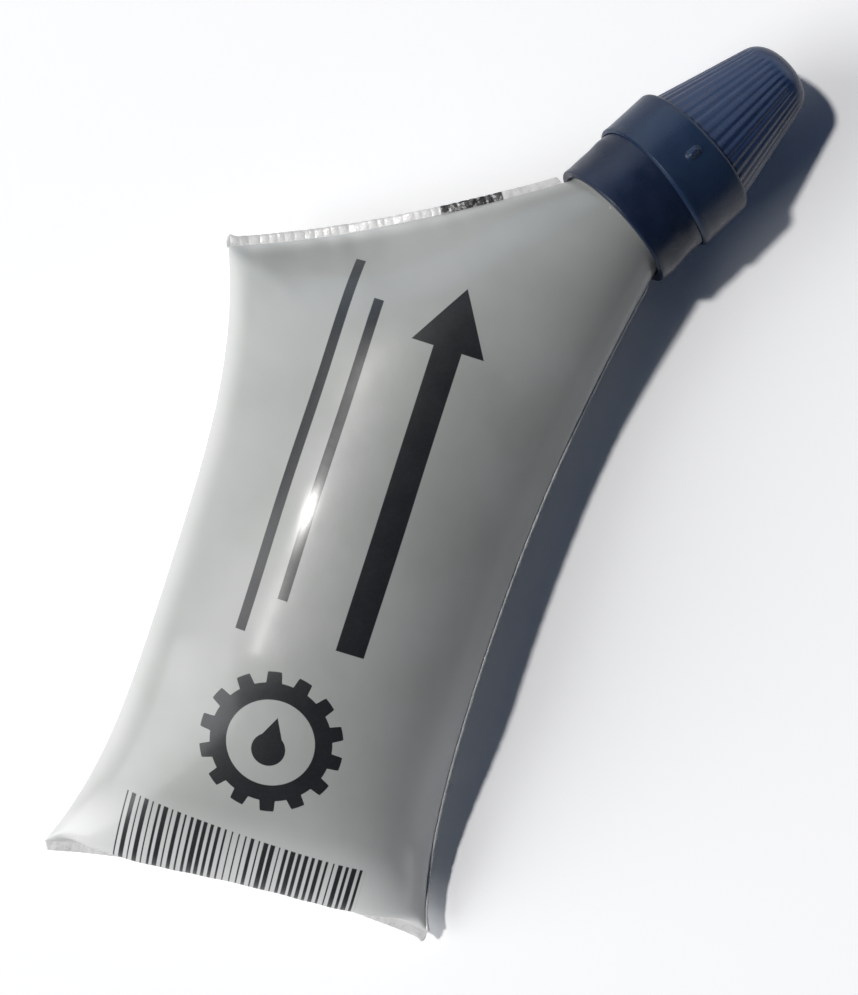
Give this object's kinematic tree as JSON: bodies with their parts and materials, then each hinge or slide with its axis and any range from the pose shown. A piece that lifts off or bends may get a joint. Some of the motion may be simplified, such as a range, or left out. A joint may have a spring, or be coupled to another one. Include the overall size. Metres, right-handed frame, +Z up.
{
  "type": "grease tube",
  "caption": "Full film pouch of grease lying on its back, with drawn-in sides, crimped welds and a collared nozzle in its corner under a fluted conical screw cap.",
  "frame": {"origin": "on the table, under the middle of the part's outline", "axes": "+Z up with the pouch on its back, +Y from the bottom weld to the spout's end, +X to the side on which the spout sits"},
  "size_m": [0.0866, 0.1436, 0.0252],
  "materials": {
    "film": "satin pale grey film",
    "weld": "whitish welded film, crimped",
    "grease": "wet dark grey",
    "plastic": "satin blue-black moulding",
    "disc": "soft foam"
  },
  "bodies": {
    "tube": {"front_film": "film", "back_film": "film", "top_weld": "weld", "bottom_weld": "weld", "side_weld": "weld", "grease_fill": "grease", "spout": "plastic", "collar": "plastic", "nozzle": "plastic"},
    "cap_seal": {"cap_seal": "disc"},
    "cap": {"cap": "plastic"}
  },
  "joints": [
    {"name": "cap_lift_off", "type": "slide", "parent": "tube", "child": "cap_seal", "axis": [0.5571, 0.8259, -0.0872], "range_m": [0, 0.022]},
    {"name": "cap_unscrew", "type": "hinge", "parent": "cap_seal", "child": "cap", "pos_m": [0.029, 0.0544, 0.01163], "axis": [0.5571, 0.8259, -0.0872], "range_deg": [0, 540]}
  ]
}
